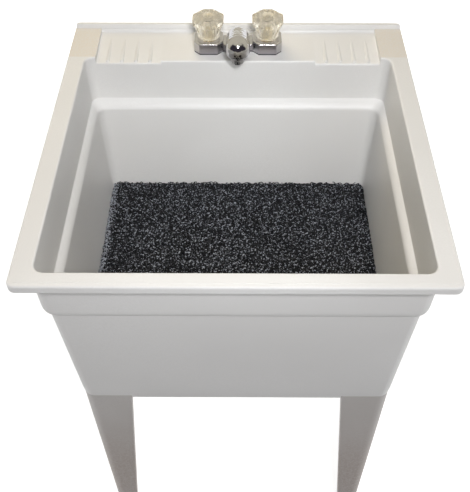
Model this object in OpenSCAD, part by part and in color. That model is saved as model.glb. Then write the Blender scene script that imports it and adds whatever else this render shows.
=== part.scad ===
// Free-standing laundry tub: a one-piece moulded basin with a faucet deck, on four tapered legs
// with levelling feet, with a centre-set faucet, a drain fitting and a loop mat on the floor.
// X runs to the right, Y to the back and Z up. The origin is on the floor under the rim's centre.

/* [Rim] */
// Width across the rim, side to side
rim_w = 584; // [540:1:640]
// Depth of the rim, front to back
rim_d = 597; // [570:1:660]
// Height of the rim above the floor
rim_h = 864; // [800:1:920]
// Width of the flat rim at each side
side_rim = 30; // [27:0.5:36]
// Width of the flat rim at the front
front_rim = 25; // [22:0.5:32]
// Height of the lip that hangs from the rim's outer edge
lip_h = 12.5; // [10:0.5:18]
// Radius of the rim's outer corners
rim_corner_r = 11; // [8:0.5:16]
// Depth of the groove inside the rim's outer edge
bead_drop = 0.5; // [0.3:0.1:0.8]
// Radius of the rim's rounded edges
edge_r = 3; // [2:0.25:3]
// Wall thickness of the rim, the deck and the skirt
wall = 3.5; // [3:0.25:4.5]

/* [Basin] */
// Depth of the upper basin, from the rim to the ledge
upper_h = 84; // [70:1:100]
// Height of the sloping ledge
ledge_h = 15.5; // [12:0.5:20]
// Width of the ledge at each side
ledge_side = 10; // [8:0.5:14]
// Width of the ledge at the front
ledge_front = 8; // [6:0.5:12]
// Width of the ledge at the back
ledge_back = 15.5; // [12:0.5:20]
// Depth of the basin, from the rim to the floor
basin_h = 286; // [240:1:320]
// Thickness of the basin's walls above the outer step
upper_wall = 7.5; // [6:0.25:9]
// Thickness of the basin's walls just below the outer step
lower_wall = 10.5; // [9:0.25:12]
// Height of the outer step above the ledge
step_rise = 6; // [3:0.5:8]
// Radius of the basin's upright corners
basin_corner_r = 15; // [13:0.5:20]
// Inward lean of the upper walls over their height
upper_draft = 1.2; // [0.5:0.1:2]
// Inward lean of the lower walls, as a slope
lower_draft = 0.019; // [0.015:0.001:0.021]
// Inward lean of the outside below the step, as a slope
outer_draft = 0.036; // [0.033:0.001:0.039]
// Radius between the lower walls and the floor
floor_r = 6; // [4:0.5:8]
// Thickness of the basin floor
floor_t = 4; // [3.5:0.25:5]
// How far the skirt reaches below the basin floor
skirt_h = 54; // [50:0.5:70]

/* [Deck] */
// Depth of the deck from the basin's back edge to the rear edge
deck_d = 101.5; // [98:0.5:120]
// How far the deck lies below the rim
deck_drop = 7; // [5:0.25:8]
// Width of the rim-level block at each end of the deck
block_w = 47; // [44:0.5:52]
// How far the end blocks lie below the rim
block_drop = 1; // [0.5:0.25:2]
// Height of the rear curb above the rim
curb_h = 6; // [4:0.5:10]
// Thickness of the rear curb at its top
curb_t = 9; // [7:0.5:12]
// Radius of the cove between the curb and the deck
cove_r = 5; // [3:0.5:6]
// Width of each soap ramp
ramp_w = 112; // [100:1:116]
// Length of each soap ramp, front to back
ramp_l = 74; // [64:1:80]
// How far each ramp falls towards the basin
ramp_drop = 5; // [4:0.25:6]
// Number of ribs on each ramp
rib_count = 4; // [3:1:5]
// Radius of a ramp's rib
rib_r = 3.6; // [2.5:0.1:4.5]

/* [Legs] */
// Width of each leg's two wings at the top
leg_top_w = 80; // [70:1:90]
// Width of each leg's two wings at the bottom
leg_foot_w = 35; // [30:1:40]
// Thickness of a leg's wings
leg_t = 3.5; // [3:0.25:4.5]
// How far a leg stands proud of the skirt
leg_proud = 0.7; // [0.5:0.1:1.5]
// How far a leg's top stands up into its notch in the skirt
leg_lap = 6; // [4:0.5:8]
// Height of a leg's tongue inside the skirt
tongue_h = 34; // [25:1:40]
// Number of webs across a leg
web_count = 3; // [2:1:5]
// Radius of a levelling foot's pad
pad_r = 17; // [15:0.5:20]
// Height of a levelling foot below its leg
foot_h = 15; // [13:0.5:20]
// Radius of a levelling foot's screw
foot_screw_r = 5; // [4:0.5:6]
// Length of a levelling foot's screw
foot_screw_l = 42; // [36:1:50]
// Radius of the screws that hold the legs
leg_screw_r = 2.4; // [2:0.1:3]

/* [Faucet] */
// Distance between the two inlets, and between the two knobs
inlet_pitch = 101.6; // [100:0.1:103]
// Distance from the rear edge to the inlets
inlet_back = 58; // [54:0.5:60]
// Radius of the three holes in the deck
deck_hole_r = 16; // [14.5:0.25:17]
// Width of each octagonal base block
base_w = 50.5; // [48:0.5:56]
// Height of the base blocks above the gasket
base_h = 19.5; // [18:0.5:24]
// Reach of the spout from the inlets to the outlet
spout_reach = 64; // [62:0.5:72]
// Height of the outlet above the deck
outlet_h = 14; // [10:0.5:20]
// Radius of the spout's domed end
spout_r = 20.25; // [18:0.25:21]
// Outer radius of the inlet shanks
shank_r = 10.45; // [10:0.05:11]
// Length of the inlet shanks below the faucet body
shank_l = 58; // [48:1:70]
// Largest radius of a knob
knob_r = 28; // [25:0.5:30]
// Height of a knob
knob_h = 39.5; // [37.5:0.5:44]
// Radius of a valve stem
stem_r = 5; // [4.5:0.1:5.5]
// Radius of a valve cartridge
cartridge_r = 12; // [11:0.25:13]
// Radius of the aerator
aerator_r = 12; // [11.5:0.25:13]

/* [Drain] */
// Radius of the strainer's flange
strainer_r = 42; // [38:0.5:46]
// Outer radius of the strainer's threaded body
strainer_body_r = 22.4; // [21:0.1:24]
// Length of the strainer below the basin floor
strainer_l = 60; // [50:1:66]
// Outer radius of the tailpiece
tailpiece_r = 19.05; // [18:0.05:19.5]
// Length of the tailpiece below the strainer
tailpiece_l = 150; // [100:5:250]

/* [Mat] */
// Thickness of the mat
mat_t = 14; // [10:0.5:18]
// Gap between the mat and the basin walls
mat_gap = 0.5; // [0.3:0.1:3]

/* [Hidden] */

// Clearances
eps = 0.02;        // overlap that keeps a cut clean
run_gap = 0.05;    // radial gap of a running or threaded fit
slip_gap = 0.1;    // radial gap between pieces that are assembled and stay put
seat_gap = 0.3;    // gap between a soft or moving piece and its seat
cut = 2;           // how far a cutter reaches past a surface

// Plan of the basin
front_y = -rim_d / 2;
rear_y = rim_d / 2;
open_x = rim_w / 2 - side_rim;
open_front = front_y + front_rim;
open_rear = rear_y - deck_d;
ledge_z = rim_h - upper_h;
ledge_end = ledge_z - ledge_h;
floor_z = rim_h - basin_h;
skirt_z = floor_z - skirt_h;
deck_z = rim_h - deck_drop;
ramp_z = deck_z - ramp_drop;
corner_steps = 7;

// A section of the basin: a height, and how far its sides, front and back stand in from the opening
function lean(z, slope) = slope * (ledge_end - z);
function ledge_in(t) = 1 - pow(1 - t, 1.8);
function section(z, share, off, k) =
    [z, k * ledge_side + share + off, k * ledge_front + share + off, k * ledge_back + share + off];

// Inside of the basin, from above the rim down to the floor
edge_steps = 4;
ledge_steps = 6;
floor_steps = 4;
floor_lean = upper_draft + lean(floor_z + floor_r, lower_draft);
basin_sections = concat(
    [section(rim_h + cut, 0, -edge_r, 0)],
    [for (i = [edge_steps:-1:0]) let (a = 90 * i / edge_steps)
        section(rim_h - edge_r + edge_r * sin(a), 0, -edge_r * (1 - cos(a)), 0)],
    [for (i = [0:ledge_steps]) let (t = i / ledge_steps)
        section(ledge_z - t * ledge_h, upper_draft, 0, ledge_in(t))],
    [for (i = [0:floor_steps]) let (a = 90 * i / floor_steps)
        section(floor_z + floor_r * (1 - sin(a)), floor_lean, floor_r * (1 - cos(a)), 1)]);

// Outside of the basin, from inside the rim down to the bottom of the skirt
step_top = ledge_z + step_rise;
step_end = ledge_end + step_rise;
hem_z = skirt_z + 20;
hem_in = 1;
function outer_lean(z) = upper_draft + outer_draft * (step_end - z);
outer_sections = concat(
    [section(rim_h - edge_r, 0, -upper_wall, 0)],
    [for (i = [0:ledge_steps]) let (a = 90 * i / ledge_steps, t = 1 - cos(a))
        section(step_top + (step_end - step_top) * sin(a), upper_draft,
            -upper_wall - t * (lower_wall - upper_wall), t)],
    [section(hem_z, outer_lean(hem_z), -lower_wall, 1),
        section(skirt_z, outer_lean(skirt_z) + hem_in, -lower_wall, 1)]);

// Skirt, seen at its bottom edge
skirt_in = outer_lean(skirt_z) + hem_in - lower_wall;
skirt_x = open_x - ledge_side - skirt_in;
skirt_front = open_front + ledge_front + skirt_in;
skirt_rear = open_rear - ledge_back - skirt_in;
skirt_corner_r = basin_corner_r + wall;

// Legs
leg_x = skirt_x + leg_proud;
leg_front = skirt_front - leg_proud;
leg_rear = skirt_rear + leg_proud;
leg_z = foot_h + seat_gap;
leg_top_z = skirt_z + leg_lap;
shoulder_t = 4;
tongue_in = leg_proud + wall + seat_gap;
leg_corner_r = skirt_corner_r + leg_proud;
tongue_r = skirt_corner_r - wall - seat_gap;
leg_flange = 10;
flange_t = 2.5;
flare_r = 7;
screw_at = 32;
boss_r = 8;
screw_l = 26;
foot_at = 15;
insert_r = 7.5;
insert_h = 16;
foot_boss_r = insert_r + slip_gap + 3;
foot_boss_h = 24;

// Drain
drain_y = (open_front + ledge_front + open_rear - ledge_back) / 2;
dish_r = 90;
dish_drop = 3;
drain_gasket_t = 1.5;
strainer_t = 2.5;
seat_z = floor_z - dish_drop - strainer_t - drain_gasket_t;
drain_boss_t = 5;
drain_under = seat_z - drain_boss_t;
drain_washer_t = 3;
locknut_h = 9;
strainer_wall = 2.9;
strainer_end = floor_z - strainer_l;
tail_flange_t = 2;
tail_washer_t = 2;
tail_wall = 1.3;
tail_free_l = tailpiece_l - 25;
coupling_h = 20;

// Faucet
gasket_t = 1.5;
inlet_y = rear_y - inlet_back;
body_z = deck_z + gasket_t;
base_top = body_z + base_h;
base_bevel = 1.5;
base_cut = 10;
outlet_y = inlet_y - spout_reach;
outlet_z = deck_z + outlet_h;
aerator_h = 16;
collar_z = outlet_z + aerator_h;
nose_z = collar_z + 10;
heel_reach = 11;
heel_z = base_top + 2;
waist_h = 13;
waist_d = 30;
water_r = 6;
shank_bore_r = 6.5;
shank_seat = 8;
shank_washer_t = 2;
shank_nut_h = 11;
collar_top_h = 1.2;
knob_z = base_top + collar_top_h + 1;
knob_top = knob_z + knob_h;
stem_top = knob_z + 26;
broach_r = stem_r - 0.4;
insert_top = stem_top + 2;
core_r = 8.5;
button_r = 9;
button_t = 2.5;
recess_h = 9;
screw_head_r = 4;
screw_head_h = 3;
knob_screw_r = 2;

// A rounded rectangle between a left, right, front and back line
module plan(x, front, rear, r) {
    translate([-x, front + r])
        square([2 * x, rear - front - 2 * r]);
    translate([-x + r, front])
        square([2 * (x - r), rear - front]);
    for (sx = [-1, 1], y = [front + r, rear - r])
        translate([sx * (x - r), y])
            circle(r = r, $fn = 64);
}

// The points of one section, anticlockwise seen from above
function ring(s, r) =
    let (x = open_x - s[1], f = open_front + s[2], b = open_rear - s[3])
    [for (c = [[x - r, b - r, 0], [-x + r, b - r, 90], [-x + r, f + r, 180], [x - r, f + r, 270]])
        for (i = [0:corner_steps]) let (a = c[2] + 90 * i / corner_steps)
            [c[0] + r * cos(a), c[1] + r * sin(a), s[0]]];

// A solid lofted through sections that are listed from the top down
module loft(sections, r) {
    n = 4 * (corner_steps + 1);
    last = len(sections) - 1;
    points = [for (s = sections) each ring(s, r)];
    sides = [for (k = [0:last - 1], i = [0:n - 1])
        let (j = (i + 1) % n) [k * n + i, k * n + j, (k + 1) * n + j, (k + 1) * n + i]];
    top = [for (i = [n - 1:-1:0]) i];
    bottom = [for (i = [0:n - 1]) last * n + i];
    polyhedron(points = points, faces = concat([top], sides, [bottom]), convexity = 6);
}

// Extrudes a profile drawn in depth and height along X, between two places
module along_x(x0, x1) {
    translate([x0, 0, 0])
        rotate([90, 0, 90])
            linear_extrude(height = x1 - x0)
                children();
}

// ---- Tub ----

// Flat rim with its hanging lip and a shallow groove beside the rounded outer edge
module rim() {
    bead_in = 4.5;
    bead_w = 3;
    difference() {
        union() {
            translate([0, 0, rim_h - lip_h])
                linear_extrude(height = lip_h - edge_r)
                    plan(rim_w / 2, front_y, rear_y, rim_corner_r);
            hull() {
                for (i = [0:3]) {
                    a = 30 * i;
                    inset = edge_r * (1 - cos(a));
                    for (sx = [-1, 1], sy = [-1, 1])
                        translate([sx * (rim_w / 2 - rim_corner_r), sy * (rim_d / 2 - rim_corner_r),
                                rim_h - edge_r + edge_r * sin(a) - eps])
                            cylinder(r = rim_corner_r - inset, h = eps, $fn = 32);
                }
            }
        }
        translate([0, 0, rim_h - lip_h - cut])
            linear_extrude(height = lip_h + cut - wall)
                plan(rim_w / 2 - wall, front_y + wall, rear_y - wall, rim_corner_r - wall);
        translate([0, 0, rim_h - bead_drop])
            linear_extrude(height = bead_drop + cut)
                intersection() {
                    difference() {
                        plan(rim_w / 2 - bead_in, front_y + bead_in, rear_y, rim_corner_r - bead_in);
                        plan(rim_w / 2 - bead_in - bead_w, front_y + bead_in + bead_w, rear_y,
                            rim_corner_r - bead_in - bead_w);
                    }
                    translate([-rim_w, front_y])
                        square([2 * rim_w, open_rear - front_y - bead_in]);
                }
    }
}

// Curb along the rear edge, with a cove down to the deck
curb_front = rear_y - curb_t;
curb_lean = 3;
module curb() {
    intersection() {
        along_x(-rim_w / 2, rim_w / 2)
            polygon(concat(
                [[rear_y - wall, deck_z - wall], [rear_y, rim_h - lip_h], [rear_y, rim_h + curb_h - edge_r]],
                [for (a = [0:30:90]) [rear_y - edge_r + edge_r * cos(a),
                    rim_h + curb_h - edge_r + edge_r * sin(a)]],
                [for (a = [90:30:150]) [curb_front + edge_r + edge_r * cos(a),
                    rim_h + curb_h - edge_r + edge_r * sin(a)]],
                [for (a = [0:15:90]) [curb_front - curb_lean - cove_r * sin(a),
                    deck_z + cove_r * (1 - cos(a))]],
                [[curb_front - curb_lean - cove_r - wall, deck_z - wall]]));
        linear_extrude(height = 2 * rim_h)
            plan(rim_w / 2 - edge_r / 2, front_y, rear_y, rim_corner_r);
    }
}

// Underside of the deck, so that the recess keeps its wall
module deck_bed() {
    translate([-rim_w / 2 + wall / 2, open_rear, deck_z - wall])
        cube([rim_w - wall, deck_d - wall / 2, rim_h - deck_z + wall - edge_r]);
    for (s = [-1, 1])
        translate([s * ramp_mid - ramp_w / 2 - wall, open_rear, ramp_z - wall])
            cube([ramp_w + 2 * wall, ramp_l, ramp_drop + wall + eps]);
}

// Triangular gussets that carry the deck from the back wall
gusset_h = 62;
module gussets() {
    gusset_top = deck_z - wall + eps;
    gusset_rear = rear_y - wall / 2;
    for (s = [-1, 1], x = [open_x - side_rim, inlet_pitch])
        translate([s * x - wall / 2, 0, 0])
            along_x(0, wall)
                polygon([[open_rear, gusset_top], [gusset_rear, gusset_top],
                    [gusset_rear, rim_h - lip_h], [open_rear + wall, gusset_top - gusset_h],
                    [open_rear, gusset_top - gusset_h]]);
}

// The deck between its end blocks, cut down from the rim, with a rounded front edge
deck_half = rim_w / 2 - block_w;
module deck_recess() {
    rear = curb_front - curb_lean - cove_r;
    along_x(-deck_half, deck_half)
        polygon(concat(
            [for (a = [0:15:90]) [open_rear + edge_r * (1 - sin(a)), deck_z - edge_r * (1 - cos(a))]],
            [[open_rear - cut, deck_z - edge_r], [open_rear - cut, rim_h + cut]],
            [[curb_front - curb_lean, rim_h + cut]],
            [for (a = [90:-15:0]) [rear + cove_r * sin(a), deck_z + cove_r * (1 - cos(a))]]));
}

// End blocks, a little lower than the rim beside the basin
module block_cut() {
    difference() {
        translate([-rim_w / 2 - cut, open_rear + edge_r, rim_h - block_drop])
            cube([rim_w + 2 * cut, deck_d - edge_r - curb_t, block_drop + cut]);
        curb();
    }
}

// Sloping soap ramps at both ends of the deck
ramp_mid = deck_half - ramp_w / 2;
module ramps() {
    for (s = [-1, 1])
        along_x(s * ramp_mid - ramp_w / 2, s * ramp_mid + ramp_w / 2)
            polygon(concat(
                [for (a = [0:15:90]) [open_rear + edge_r * (1 - sin(a)), ramp_z - edge_r * (1 - cos(a))]],
                [[open_rear - cut, ramp_z - edge_r], [open_rear - cut, deck_z + cut],
                    [open_rear + ramp_l, deck_z + cut], [open_rear + ramp_l, deck_z]]));
}

// Ribs that rise out of the ramps as these fall away
rib_pitch = ramp_w / (rib_count + 0.6);
rib_tilt = 1.2;
module ribs() {
    rib_l = ramp_l - edge_r - rib_r;
    for (s = [-1, 1], i = [0:rib_count - 1])
        translate([s * ramp_mid + rib_pitch * (i - (rib_count - 1) / 2), open_rear + edge_r + rib_r,
                ramp_z + 0.7 * ramp_drop - rib_r])
            rotate([-90 + rib_tilt, 0, 0]) {
                cylinder(r = rib_r, h = rib_l, $fn = 48);
                sphere(r = rib_r, $fn = 48);
            }
}

// Bosses for the leg screws, under the basin floor
module leg_bosses() {
    for (p = leg_screw_places)
        translate([p[0], p[1], leg_top_z])
            difference() {
                cylinder(r = boss_r, h = floor_z - floor_t / 2 - leg_top_z, $fn = 48);
                translate([0, 0, -eps])
                    cylinder(r = leg_screw_r + run_gap, h = screw_l, $fn = 32);
            }
}
leg_screw_places = [for (sx = [-1, 1], y = [leg_front + screw_at, leg_rear - screw_at])
    [sx * (leg_x - screw_at), y]];

// Notches in the skirt's corners, where the tops of the legs fit flush
module leg_notches() {
    side = leg_top_w + seat_gap + cut;
    for (sx = [-1, 1], sy = [-1, 1])
        at_leg(sx, sy)
            translate([-cut, -cut, skirt_z - cut])
                cube([side, side, leg_lap + cut]);
}

module tub() {
    skirt_r = skirt_corner_r - wall;
    color("ghostwhite") {
        difference() {
            union() {
                rim();
                curb();
                deck_bed();
                gussets();
                loft(outer_sections, basin_corner_r + wall);
            }
            loft(basin_sections, basin_corner_r);
            translate([0, 0, skirt_z - cut])
                linear_extrude(height = skirt_h - floor_t + cut)
                    plan(skirt_x - wall, skirt_front + wall, skirt_rear - wall, skirt_r);
            leg_notches();
            deck_recess();
            block_cut();
            ramps();
            for (x = [-inlet_pitch / 2, 0, inlet_pitch / 2])
                translate([x, inlet_y, deck_z - wall - cut])
                    cylinder(r = deck_hole_r, h = wall + 2 * cut, $fn = 64);
            translate([0, drain_y, floor_z - dish_drop])
                cylinder(r1 = strainer_r + slip_gap, r2 = dish_r, h = dish_drop + eps, $fn = 96);
            translate([0, drain_y, floor_z - floor_t - cut])
                cylinder(r = strainer_r, h = floor_t + cut, $fn = 64);
        }
        ribs();
        leg_bosses();
        drain_boss();
    }
}

// Thicker ring of the floor round the drain, with the seat for the strainer
module drain_boss() {
    translate([0, drain_y, 0])
        difference() {
            translate([0, 0, drain_under])
                cylinder(r = dish_r + wall, h = floor_z - floor_t + 1 - drain_under, $fn = 96);
            translate([0, 0, floor_z - dish_drop])
                cylinder(r1 = strainer_r + slip_gap, r2 = dish_r, h = dish_drop + eps, $fn = 96);
            translate([0, 0, seat_z])
                cylinder(r = strainer_r + slip_gap, h = floor_z - seat_z, $fn = 96);
            translate([0, 0, drain_under - cut])
                cylinder(r = strainer_body_r + slip_gap, h = 2 * skirt_h, $fn = 96);
        }
}

// ---- Legs ----

leg_len = leg_top_z - leg_z;
leg_slope = (leg_top_w - leg_foot_w) / leg_len;
function wing_w(z) = leg_foot_w + leg_slope * (z - leg_z);

// Side of the wing at X, as an outline in X and Z that is cut away
module wing_cut() {
    reach = leg_top_w + flare_r + cut;
    top = leg_top_z - shoulder_t;
    polygon(concat(
        [[wing_w(leg_z) - leg_slope * cut, leg_z - cut]],
        [for (a = [0:15:90]) [wing_w(top - flare_r) + flare_r * (1 - cos(a)),
            top - flare_r + flare_r * sin(a)]],
        [[reach, top], [reach, leg_z - cut]]));
}

// Return along the wing's tapered edge
module wing_return() {
    top = leg_top_z - shoulder_t - flare_r;
    polygon([[leg_foot_w - flange_t, leg_z], [leg_foot_w, leg_z], [wing_w(top), top],
        [wing_w(top) - flange_t, top]]);
}

// Turns a wing that runs along X into one that runs along Y
module both_wings() {
    children();
    mirror([1, -1, 0])
        children();
}

// A square plate of side w with its corner at the origin rounded to r
module corner_plate(w, r) {
    difference() {
        square(w);
        difference() {
            translate([-cut, -cut])
                square(r + cut);
            translate([r, r])
                circle(r = r, $fn = 96);
        }
    }
}

// An angle of side w and thickness leg_t, with its outer corner at the origin rounded to r
module corner_angle(w, r) {
    difference() {
        corner_plate(w, r);
        translate([leg_t, leg_t])
            corner_plate(w, r - leg_t);
    }
}

// One leg, with its outer corner at the origin and its wings along +X and +Y
module leg() {
    inner_r = leg_corner_r - leg_t / 2;
    color("gainsboro")
    difference() {
        union() {
            difference() {
                translate([0, 0, leg_z])
                    linear_extrude(height = leg_len)
                        corner_angle(leg_top_w, leg_corner_r);
                both_wings()
                    translate([0, leg_t + cut, 0])
                        rotate([90, 0, 0])
                            linear_extrude(height = leg_t + 2 * cut)
                                wing_cut();
            }
            both_wings()
                translate([0, leg_t + leg_flange, 0])
                    rotate([90, 0, 0])
                        linear_extrude(height = leg_flange + leg_t / 2)
                            wing_return();
            translate([0, 0, leg_top_z - shoulder_t])
                linear_extrude(height = shoulder_t)
                    intersection() {
                        corner_plate(leg_top_w, leg_corner_r);
                        polygon([[0, 0], [leg_top_w, 0], [leg_top_w, 2 * leg_flange],
                            [2 * leg_flange, leg_top_w], [0, leg_top_w]]);
                    }
            translate([tongue_in, tongue_in, leg_top_z - shoulder_t / 2])
                linear_extrude(height = tongue_h + shoulder_t / 2)
                    corner_angle(leg_top_w - tongue_in, tongue_r);
            for (i = [1:web_count]) {
                web_z = leg_z + foot_boss_h + (leg_len - foot_boss_h) * i / (web_count + 1);
                web = wing_w(web_z) - flange_t / 2;
                translate([leg_t / 2, leg_t / 2, web_z])
                    linear_extrude(height = leg_t)
                        intersection() {
                            corner_plate(web - leg_t / 2, inner_r);
                            polygon([[0, 0], [web, 0], [web, leg_flange / 2], [leg_flange / 2, web],
                                [0, web]]);
                        }
            }
            translate([leg_t / 2, leg_t / 2, leg_z])
                linear_extrude(height = foot_boss_h)
                    corner_plate(foot_at, inner_r);
            translate([foot_at, foot_at, leg_z])
                cylinder(r = foot_boss_r, h = foot_boss_h, $fn = 64);
            translate([leg_t / 2, leg_t / 2, leg_z])
                linear_extrude(height = leg_t)
                    corner_plate(leg_foot_w - leg_t / 2, inner_r);
        }
        translate([foot_at, foot_at, leg_z - cut])
            cylinder(r = foot_screw_r + 3 * slip_gap, h = foot_boss_h + 2 * cut, $fn = 64);
        translate([foot_at, foot_at, leg_z + foot_boss_h - insert_h])
            cylinder(r = insert_r + slip_gap, h = insert_h + cut, $fn = 64);
        translate([screw_at, screw_at, leg_top_z - shoulder_t - cut])
            cylinder(r = leg_screw_r + 2 * slip_gap, h = shoulder_t + 2 * cut, $fn = 32);
    }
}

// Places a piece that is drawn at a leg's outer corner; sx is the side and sy is front or rear
module at_leg(sx, sy) {
    translate([sx * leg_x, sy < 0 ? leg_front : leg_rear, 0])
        mirror([sx > 0 ? 1 : 0, 0, 0])
            mirror([0, sy > 0 ? 1 : 0, 0])
                children();
}

module front_left_leg() { at_leg(-1, -1) leg(); }
module front_right_leg() { at_leg(1, -1) leg(); }
module rear_left_leg() { at_leg(-1, 1) leg(); }
module rear_right_leg() { at_leg(1, 1) leg(); }

// Screws up through each leg's shoulder into the bosses of the tub
module leg_screws() {
    color("silver")
    for (p = leg_screw_places)
        translate([p[0], p[1], leg_top_z - shoulder_t]) {
            cylinder(r = leg_screw_r, h = shoulder_t + screw_l - 3, $fn = 32);
            translate([0, 0, -2.5])
                difference() {
                    cylinder(r = 2.2 * leg_screw_r, h = 2.5, $fn = 48);
                    translate([0, 0, -eps])
                        for (a = [0, 90])
                            rotate([0, 0, a])
                                translate([-0.5, -1.3 * leg_screw_r, 0])
                                    cube([1, 2.6 * leg_screw_r, 1.4]);
                }
        }
}

// Threaded inserts in the feet of the legs
module foot_inserts() {
    color("goldenrod")
    for (sx = [-1, 1], sy = [-1, 1])
        at_leg(sx, sy)
            translate([foot_at, foot_at, leg_z + foot_boss_h - insert_h])
                difference() {
                    cylinder(r = insert_r, h = insert_h, $fn = 48);
                    translate([0, 0, -cut])
                        cylinder(r = foot_screw_r + run_gap, h = insert_h + 2 * cut, $fn = 64);
                }
}

// One levelling foot: a pad with a hexagon and a screw
module foot() {
    hex_h = 5;
    pad_h = foot_h - hex_h;
    color("dimgray")
        translate([foot_at, foot_at, 0]) {
            rotate_extrude($fn = 96)
                polygon([[0, 0], [pad_r - 1, 0], [pad_r, 1], [pad_r, 0.4 * pad_h],
                    [foot_screw_r + 4, pad_h], [0, pad_h]]);
            translate([0, 0, pad_h])
                cylinder(r = foot_screw_r + 4, h = hex_h, $fn = 6);
            cylinder(r = foot_screw_r, h = foot_h + foot_screw_l, $fn = 64);
        }
}

module front_left_foot() { at_leg(-1, -1) foot(); }
module front_right_foot() { at_leg(1, -1) foot(); }
module rear_left_foot() { at_leg(-1, 1) foot(); }
module rear_right_foot() { at_leg(1, 1) foot(); }

// ---- Mat ----

// Loop mat cut to the basin floor; its lower edge clears the radius round the floor
module loop_mat() {
    mat_z = floor_z + seat_gap;
    inset = floor_lean + mat_gap;
    x = open_x - ledge_side - inset;
    front = open_front + ledge_front + inset;
    rear = open_rear - ledge_back - inset;
    color("darkslategray") {
        translate([0, 0, mat_z])
            linear_extrude(height = floor_r + eps)
                plan(x - floor_r, front + floor_r, rear - floor_r, basin_corner_r);
        translate([0, 0, mat_z + floor_r])
            linear_extrude(height = mat_t - floor_r)
                plan(x, front, rear, basin_corner_r);
    }
}

// ---- Drain ----

module drain_strainer() {
    bar_t = 3;
    color("silver")
        translate([0, drain_y, 0]) {
            difference() {
                union() {
                    translate([0, 0, seat_z + drain_gasket_t])
                        cylinder(r = strainer_r, h = strainer_t, $fn = 96);
                    translate([0, 0, strainer_end])
                        cylinder(r = strainer_body_r, h = seat_z + drain_gasket_t - strainer_end + eps,
                            $fn = 96);
                }
                translate([0, 0, strainer_end - cut])
                    cylinder(r = strainer_body_r - strainer_wall, h = 2 * skirt_h, $fn = 96);
            }
            intersection() {
                translate([0, 0, seat_z + drain_gasket_t])
                    cylinder(r = strainer_body_r - strainer_wall + eps, h = strainer_t, $fn = 96);
                for (a = [0, 90])
                    rotate([0, 0, a])
                        translate([-strainer_r, -bar_t / 2, seat_z + drain_gasket_t])
                            cube([2 * strainer_r, bar_t, strainer_t]);
            }
        }
}

// A flat ring round the drain or an inlet
module washer(z, h, outer, inner) {
    translate([0, 0, z])
        difference() {
            cylinder(r = outer, h = h, $fn = 96);
            translate([0, 0, -cut])
                cylinder(r = inner, h = h + 2 * cut, $fn = 96);
        }
}

// A ring with finger lobes round it
module lobed_nut(z, h, outer, inner, lobes) {
    translate([0, 0, z])
        difference() {
            union() {
                cylinder(r = outer - 2, h = h, $fn = 96);
                for (i = [0:lobes - 1])
                    rotate([0, 0, 360 * i / lobes])
                        translate([outer - 4, 0, 0])
                            cylinder(r = 4, h = h, $fn = 32);
            }
            translate([0, 0, -cut])
                cylinder(r = inner, h = h + 2 * cut, $fn = 96);
        }
}

module drain_gasket() {
    color("dimgray")
        translate([0, drain_y, 0])
            washer(seat_z, drain_gasket_t, strainer_r - 1, strainer_body_r + slip_gap);
}

module drain_washer() {
    color("dimgray")
        translate([0, drain_y, 0])
            washer(drain_under - drain_washer_t, drain_washer_t, strainer_body_r + 13,
                strainer_body_r + slip_gap);
}

module drain_locknut() {
    color("silver")
        translate([0, drain_y, 0])
            lobed_nut(drain_under - drain_washer_t - locknut_h, locknut_h, strainer_body_r + 14,
                strainer_body_r + run_gap, 8);
}

module tailpiece() {
    color("silver")
        translate([0, drain_y, 0]) {
            tail_z = strainer_end - tail_washer_t - tail_flange_t - tailpiece_l;
            washer(tail_z, tailpiece_l + tail_flange_t, tailpiece_r, tailpiece_r - tail_wall);
            washer(strainer_end - tail_washer_t - tail_flange_t, tail_flange_t,
                strainer_body_r - slip_gap, tailpiece_r - tail_wall);
            washer(tail_z + tail_free_l, 3, tailpiece_r + 0.8, tailpiece_r - tail_wall);
        }
}

module tailpiece_washer() {
    color("dimgray")
        translate([0, drain_y, 0])
            washer(strainer_end - tail_washer_t, tail_washer_t, strainer_body_r - slip_gap,
                tailpiece_r - tail_wall);
}

module coupling_nut() {
    nut_top = strainer_end + coupling_h / 2;
    nut_r = strainer_body_r + 5;
    shelf_z = strainer_end - tail_washer_t - tail_flange_t;
    shelf_t = 3;
    color("silver")
        translate([0, drain_y, 0])
            difference() {
                union() {
                    translate([0, 0, shelf_z - shelf_t])
                        cylinder(r = nut_r - 1.5, h = nut_top - shelf_z + shelf_t, $fn = 96);
                    for (i = [0:7])
                        rotate([0, 0, 45 * i])
                            translate([nut_r - 4, -3, shelf_z - shelf_t])
                                cube([4, 6, nut_top - shelf_z + shelf_t]);
                }
                translate([0, 0, shelf_z])
                    cylinder(r = strainer_body_r + run_gap, h = 2 * coupling_h, $fn = 96);
                translate([0, 0, shelf_z - shelf_t - cut])
                    cylinder(r = tailpiece_r + slip_gap, h = 2 * coupling_h, $fn = 96);
            }
}

// ---- Faucet ----

// Outline of a base block: a square with its corners cut off
module block_plan(w) {
    h = w / 2;
    c = base_cut;
    polygon([[h, -h + c], [h, h - c], [h - c, h], [-h + c, h], [-h, h - c], [-h, -h + c],
        [-h + c, -h], [h - c, -h]]);
}

// Outline of the waist between the blocks, drawn in at the middle
module waist_plan(d) {
    difference() {
        square([inlet_pitch, d + 8], center = true);
        for (sx = [-1, 1], sy = [-1, 1])
            translate([sx * inlet_pitch * 0.22, sy * (d / 2 + 14)])
                circle(r = 14, $fn = 64);
    }
}

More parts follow.
